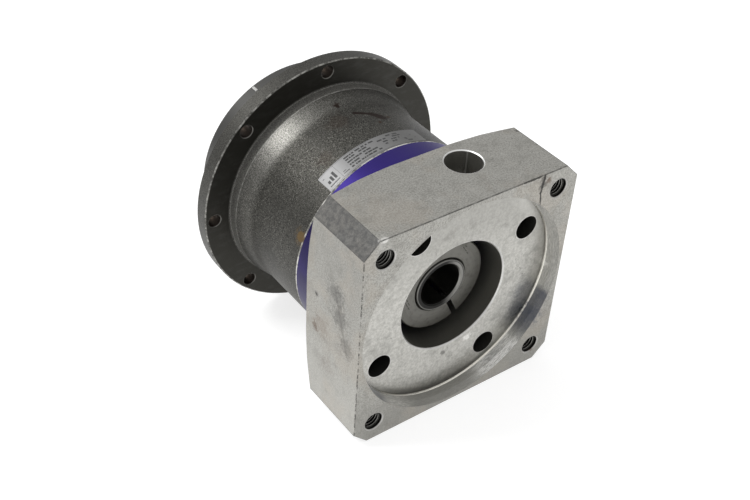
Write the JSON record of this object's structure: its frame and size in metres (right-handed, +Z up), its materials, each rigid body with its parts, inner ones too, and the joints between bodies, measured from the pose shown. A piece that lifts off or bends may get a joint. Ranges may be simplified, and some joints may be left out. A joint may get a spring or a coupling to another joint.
{
  "type": "inline planetary gear reducer",
  "caption": "Inline planetary gear reducer: square motor adapter with clamped shaft bore on one end, round mounting flange with centring nose and output flange on the other.",
  "frame": {"origin": "on the gearbox axis, in the output-side face of the round mounting flange", "axes": "+Y along the gearbox axis towards the output, +Z up, on the side of the clamp access hole, +X to the side"},
  "size_m": [0.118, 0.1345, 0.118],
  "materials": {
    "cast_housing": "blasted, grey",
    "raw_aluminium": "milled, worn",
    "violet_ring": "satin, coloured",
    "ground_steel": "ground",
    "turned_steel": "turned",
    "gear_steel": "hardened",
    "black_screw": "black oxide",
    "spring_steel": "phosphated",
    "bearing_ball": "polished",
    "brass_cage": "pressed",
    "seal_rubber": "moulded",
    "label_foil": "foil"
  },
  "bodies": {
    "housing": {"housing": "cast_housing", "adapter_plate": "raw_aluminium", "adapter_screws": "black_screw", "intermediate_ring": "violet_ring", "ring_screws": "black_screw", "housing_o_ring": "seal_rubber", "ring_gear": "gear_steel", "name_plate": "label_foil", "input_seal": "seal_rubber", "bearing_retaining_ring": "spring_steel", "input_bearing_outer_ring": "ground_steel", "output_bearing_outer_ring": "ground_steel", "rear_bearing_outer_ring": "ground_steel", "outer_spacer_ring": "turned_steel", "housing_retaining_ring": "spring_steel", "output_seal": "seal_rubber"},
    "output_carrier": {"output_carrier": "ground_steel", "preload_nut": "spring_steel", "output_bearing_inner_ring": "ground_steel", "rear_bearing_inner_ring": "ground_steel", "planet_pin_1": "ground_steel", "planet_pin_2": "ground_steel", "planet_pin_3": "ground_steel", "planet_washers_1": "turned_steel", "planet_washers_2": "turned_steel", "planet_washers_3": "turned_steel"},
    "input_shaft": {"input_shaft": "ground_steel", "clamp_ring": "turned_steel", "clamp_screw": "black_screw", "input_bearing_inner_ring": "ground_steel", "shaft_retaining_ring": "spring_steel"},
    "input_bearing_balls": {"input_bearing_cage": "brass_cage", "input_bearing_balls": "bearing_ball"},
    "output_bearing_balls": {"output_bearing_cage": "brass_cage", "output_bearing_balls": "bearing_ball"},
    "rear_bearing_balls": {"rear_bearing_cage": "brass_cage", "rear_bearing_balls": "bearing_ball"},
    "planet_gear_1": {"planet_gear_1": "gear_steel"},
    "needles_1": {"needle_rollers_1": "bearing_ball", "needle_cage_1": "brass_cage"},
    "planet_gear_2": {"planet_gear_2": "gear_steel"},
    "needles_2": {"needle_rollers_2": "bearing_ball", "needle_cage_2": "brass_cage"},
    "planet_gear_3": {"planet_gear_3": "gear_steel"},
    "needles_3": {"needle_rollers_3": "bearing_ball", "needle_cage_3": "brass_cage"}
  },
  "joints": [
    {"name": "output_spin", "type": "hinge", "parent": "housing", "child": "output_carrier", "pos_m": [0, 0, 0], "axis": [0, 1, 0], "continuous": true},
    {"name": "input_spin", "type": "hinge", "parent": "housing", "child": "input_shaft", "pos_m": [0, 0, 0], "axis": [0, 1, 0], "continuous": true},
    {"name": "input_bearing_spin", "type": "hinge", "parent": "housing", "child": "input_bearing_balls", "pos_m": [0, -0.0615, 0], "axis": [0, 1, 0], "continuous": true},
    {"name": "output_bearing_spin", "type": "hinge", "parent": "housing", "child": "output_bearing_balls", "pos_m": [0, 0.003, 0], "axis": [0, 1, 0], "continuous": true},
    {"name": "rear_bearing_spin", "type": "hinge", "parent": "housing", "child": "rear_bearing_balls", "pos_m": [0, -0.012, 0], "axis": [0, 1, 0], "continuous": true},
    {"name": "planet_spin_1", "type": "hinge", "parent": "output_carrier", "child": "planet_gear_1", "pos_m": [0, -0.035, 0.02025], "axis": [0, 1, 0], "continuous": true},
    {"name": "needle_spin_1", "type": "hinge", "parent": "output_carrier", "child": "needles_1", "pos_m": [0, -0.035, 0.02025], "axis": [0, 1, 0], "continuous": true},
    {"name": "planet_spin_2", "type": "hinge", "parent": "output_carrier", "child": "planet_gear_2", "pos_m": [-0.01754, -0.035, -0.01013], "axis": [0, 1, 0], "continuous": true},
    {"name": "needle_spin_2", "type": "hinge", "parent": "output_carrier", "child": "needles_2", "pos_m": [-0.01754, -0.035, -0.01013], "axis": [0, 1, 0], "continuous": true},
    {"name": "planet_spin_3", "type": "hinge", "parent": "output_carrier", "child": "planet_gear_3", "pos_m": [0.01754, -0.035, -0.01013], "axis": [0, 1, 0], "continuous": true},
    {"name": "needle_spin_3", "type": "hinge", "parent": "output_carrier", "child": "needles_3", "pos_m": [0.01754, -0.035, -0.01013], "axis": [0, 1, 0], "continuous": true}
  ],
  "couplings": [
    {"joint": "input_spin", "follows": "output_spin", "ratio": 5},
    {"joint": "input_bearing_spin", "follows": "output_spin", "ratio": 2.1269},
    {"joint": "output_bearing_spin", "follows": "output_spin", "ratio": 0.46015},
    {"joint": "rear_bearing_spin", "follows": "output_spin", "ratio": 0.46015},
    {"joint": "planet_spin_1", "follows": "output_spin", "ratio": -2.6667},
    {"joint": "needle_spin_1", "follows": "output_spin", "ratio": -1.5758},
    {"joint": "planet_spin_2", "follows": "output_spin", "ratio": -2.6667},
    {"joint": "needle_spin_2", "follows": "output_spin", "ratio": -1.5758},
    {"joint": "planet_spin_3", "follows": "output_spin", "ratio": -2.6667},
    {"joint": "needle_spin_3", "follows": "output_spin", "ratio": -1.5758}
  ]
}
